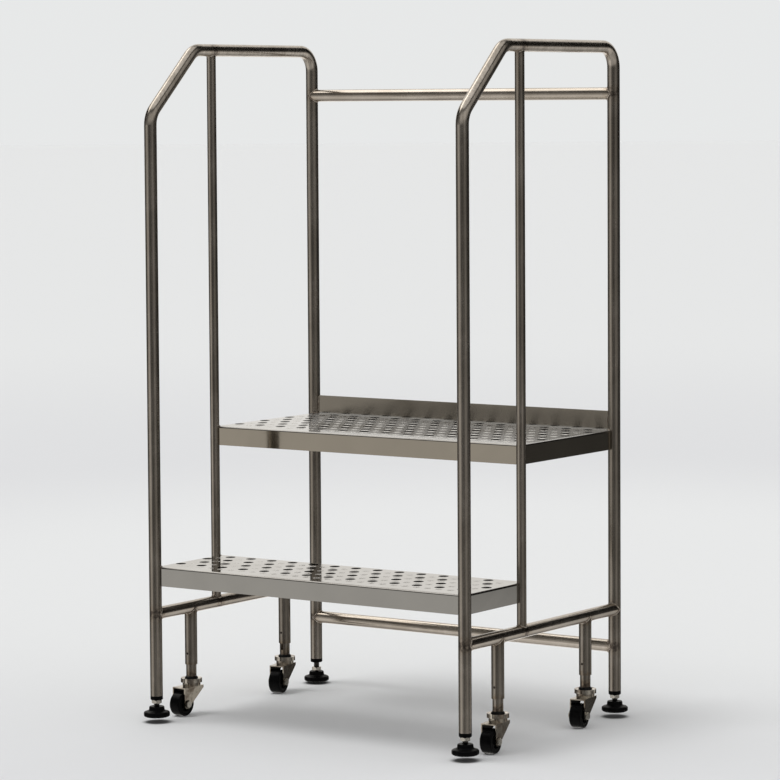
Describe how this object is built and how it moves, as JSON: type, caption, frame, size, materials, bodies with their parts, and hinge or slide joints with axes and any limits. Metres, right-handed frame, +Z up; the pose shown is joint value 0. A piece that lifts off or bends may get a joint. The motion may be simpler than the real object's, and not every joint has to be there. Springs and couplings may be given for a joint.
{
  "type": "two-step mobile work platform",
  "caption": "Two-tread stainless tube work platform with handrails, spring-loaded casters and levelling feet.",
  "frame": {"origin": "on the floor under the middle of the four legs, which is the bottom centre of the whole object", "axes": "+Z up, +Y the way a user climbs, +X to that user's right"},
  "size_m": [0.806, 0.608, 1.3767],
  "materials": {
    "tube_steel": "satin stainless tube with a lengthwise grain and heat tint near the welds",
    "tread_steel": "bright perforated stainless sheet",
    "bright_plate": "nickel-plated pressed steel",
    "zinc_steel": "zinc-plated fasteners",
    "spring_steel": "spring wire",
    "black_plastic": "moulded black nylon",
    "stem_steel": "black oxide screw",
    "black_tyre": "black wheel tread"
  },
  "bodies": {
    "platform": {"side_frame_left": "tube_steel", "side_frame_right": "tube_steel", "side_rail_left": "tube_steel", "side_rail_right": "tube_steel", "mid_post_left": "tube_steel", "mid_post_right": "tube_steel", "lower_cross_rail": "tube_steel", "upper_cross_rail": "tube_steel", "lower_tread": "tread_steel", "upper_tread": "tread_steel", "caster_sleeve_front_left": "tube_steel", "caster_sleeve_rear_left": "tube_steel", "caster_sleeve_front_right": "tube_steel", "caster_sleeve_rear_right": "tube_steel", "sleeve_cross_pins": "zinc_steel", "leg_end_plugs": "black_plastic", "plunger_spring_front_left": "spring_steel", "plunger_spring_rear_left": "spring_steel", "plunger_spring_front_right": "spring_steel", "plunger_spring_rear_right": "spring_steel"},
    "plunger_front_left_body": {"plunger_front_left": "tube_steel", "swivel_ring_front_left": "bright_plate", "kingpin_front_left": "zinc_steel"},
    "caster_front_left": {"caster_fork_front_left": "bright_plate", "wheel_axle_front_left": "zinc_steel"},
    "wheel_front_left": {"wheel_tyre_front_left": "black_tyre", "wheel_hub_front_left": "black_plastic"},
    "foot_stem_front_left_body": {"foot_stem_front_left": "stem_steel"},
    "jam_nut_front_left_body": {"jam_nut_front_left": "zinc_steel"},
    "foot_pad_front_left_body": {"foot_pad_front_left": "black_plastic"},
    "plunger_rear_left_body": {"plunger_rear_left": "tube_steel", "swivel_ring_rear_left": "bright_plate", "kingpin_rear_left": "zinc_steel"},
    "caster_rear_left": {"caster_fork_rear_left": "bright_plate", "wheel_axle_rear_left": "zinc_steel"},
    "wheel_rear_left": {"wheel_tyre_rear_left": "black_tyre", "wheel_hub_rear_left": "black_plastic"},
    "foot_stem_rear_left_body": {"foot_stem_rear_left": "stem_steel"},
    "jam_nut_rear_left_body": {"jam_nut_rear_left": "zinc_steel"},
    "foot_pad_rear_left_body": {"foot_pad_rear_left": "black_plastic"},
    "plunger_front_right_body": {"plunger_front_right": "tube_steel", "swivel_ring_front_right": "bright_plate", "kingpin_front_right": "zinc_steel"},
    "caster_front_right": {"caster_fork_front_right": "bright_plate", "wheel_axle_front_right": "zinc_steel"},
    "wheel_front_right": {"wheel_tyre_front_right": "black_tyre", "wheel_hub_front_right": "black_plastic"},
    "foot_stem_front_right_body": {"foot_stem_front_right": "stem_steel"},
    "jam_nut_front_right_body": {"jam_nut_front_right": "zinc_steel"},
    "foot_pad_front_right_body": {"foot_pad_front_right": "black_plastic"},
    "plunger_rear_right_body": {"plunger_rear_right": "tube_steel", "swivel_ring_rear_right": "bright_plate", "kingpin_rear_right": "zinc_steel"},
    "caster_rear_right": {"caster_fork_rear_right": "bright_plate", "wheel_axle_rear_right": "zinc_steel"},
    "wheel_rear_right": {"wheel_tyre_rear_right": "black_tyre", "wheel_hub_rear_right": "black_plastic"},
    "foot_stem_rear_right_body": {"foot_stem_rear_right": "stem_steel"},
    "jam_nut_rear_right_body": {"jam_nut_rear_right": "zinc_steel"},
    "foot_pad_rear_right_body": {"foot_pad_rear_right": "black_plastic"}
  },
  "joints": [
    {"name": "plunger_slide_front_left", "type": "slide", "parent": "platform", "child": "plunger_front_left_body", "axis": [0, 0, 1], "range_m": [0, 0.01], "stiffness_N_per_m": 9000, "springref_m": -0.01, "deforming": ["plunger_spring_front_left"]},
    {"name": "caster_swivel_front_left", "type": "hinge", "parent": "plunger_front_left_body", "child": "caster_front_left", "pos_m": [-0.376, -0.162, 0.059], "axis": [0, 0, 1], "continuous": true},
    {"name": "wheel_spin_front_left", "type": "hinge", "parent": "caster_front_left", "child": "wheel_front_left", "pos_m": [-0.37762, -0.19296, 0.025], "axis": [0.9986, -0.0523, 0], "continuous": true},
    {"name": "foot_screw_front_left", "type": "slide", "parent": "platform", "child": "foot_stem_front_left_body", "axis": [0, 0, 1], "range_m": [-0.02, 0.003]},
    {"name": "jam_nut_run_front_left", "type": "slide", "parent": "platform", "child": "jam_nut_front_left_body", "axis": [0, 0, 1], "range_m": [-0.001, 0]},
    {"name": "foot_pad_tilt_front_left", "type": "hinge", "parent": "foot_stem_front_left_body", "child": "foot_pad_front_left_body", "pos_m": [-0.376, -0.277, 0.0215], "axis": [1, 0, 0], "range_deg": [-5, 5]},
    {"name": "plunger_slide_rear_left", "type": "slide", "parent": "platform", "child": "plunger_rear_left_body", "axis": [0, 0, 1], "range_m": [0, 0.01], "stiffness_N_per_m": 9000, "springref_m": -0.01, "deforming": ["plunger_spring_rear_left"]},
    {"name": "caster_swivel_rear_left", "type": "hinge", "parent": "plunger_rear_left_body", "child": "caster_rear_left", "pos_m": [-0.376, 0.162, 0.059], "axis": [0, 0, 1], "continuous": true},
    {"name": "wheel_spin_rear_left", "type": "hinge", "parent": "caster_rear_left", "child": "wheel_rear_left", "pos_m": [-0.37062, 0.13147, 0.025], "axis": [0.9848, 0.1736, 0], "continuous": true},
    {"name": "foot_screw_rear_left", "type": "slide", "parent": "platform", "child": "foot_stem_rear_left_body", "axis": [0, 0, 1], "range_m": [-0.02, 0.003]},
    {"name": "jam_nut_run_rear_left", "type": "slide", "parent": "foot_stem_rear_left_body", "child": "jam_nut_rear_left_body", "axis": [0, 0, 1], "range_m": [0, 0.006]},
    {"name": "foot_pad_tilt_rear_left", "type": "hinge", "parent": "foot_stem_rear_left_body", "child": "foot_pad_rear_left_body", "pos_m": [-0.376, 0.277, 0.015], "axis": [1, 0, 0], "range_deg": [-5, 5]},
    {"name": "plunger_slide_front_right", "type": "slide", "parent": "platform", "child": "plunger_front_right_body", "axis": [0, 0, 1], "range_m": [0, 0.01], "stiffness_N_per_m": 9000, "springref_m": -0.01, "deforming": ["plunger_spring_front_right"]},
    {"name": "caster_swivel_front_right", "type": "hinge", "parent": "plunger_front_right_body", "child": "caster_front_right", "pos_m": [0.376, -0.162, 0.059], "axis": [0, 0, 1], "continuous": true},
    {"name": "wheel_spin_front_right", "type": "hinge", "parent": "caster_front_right", "child": "wheel_front_right", "pos_m": [0.37924, -0.19283, 0.025], "axis": [0.9945, 0.1045, 0], "continuous": true},
    {"name": "foot_screw_front_right", "type": "slide", "parent": "platform", "child": "foot_stem_front_right_body", "axis": [0, 0, 1], "range_m": [-0.02, 0.003]},
    {"name": "jam_nut_run_front_right", "type": "slide", "parent": "platform", "child": "jam_nut_front_right_body", "axis": [0, 0, 1], "range_m": [-0.001, 0]},
    {"name": "foot_pad_tilt_front_right", "type": "hinge", "parent": "foot_stem_front_right_body", "child": "foot_pad_front_right_body", "pos_m": [0.376, -0.277, 0.0215], "axis": [1, 0, 0], "range_deg": [-5, 5]},
    {"name": "plunger_slide_rear_right", "type": "slide", "parent": "platform", "child": "plunger_rear_right_body", "axis": [0, 0, 1], "range_m": [0, 0.01], "stiffness_N_per_m": 9000, "springref_m": -0.01, "deforming": ["plunger_spring_rear_right"]},
    {"name": "caster_swivel_rear_right", "type": "hinge", "parent": "plunger_rear_right_body", "child": "caster_rear_right", "pos_m": [0.376, 0.162, 0.059], "axis": [0, 0, 1], "continuous": true},
    {"name": "wheel_spin_rear_right", "type": "hinge", "parent": "caster_rear_right", "child": "wheel_rear_right", "pos_m": [0.38031, 0.1313, 0.025], "axis": [0.9903, 0.1392, 0], "continuous": true},
    {"name": "foot_screw_rear_right", "type": "slide", "parent": "platform", "child": "foot_stem_rear_right_body", "axis": [0, 0, 1], "range_m": [-0.02, 0.003]},
    {"name": "jam_nut_run_rear_right", "type": "slide", "parent": "platform", "child": "jam_nut_rear_right_body", "axis": [0, 0, 1], "range_m": [-0.001, 0]},
    {"name": "foot_pad_tilt_rear_right", "type": "hinge", "parent": "foot_stem_rear_right_body", "child": "foot_pad_rear_right_body", "pos_m": [0.376, 0.277, 0.0215], "axis": [1, 0, 0], "range_deg": [-5, 5]}
  ]
}
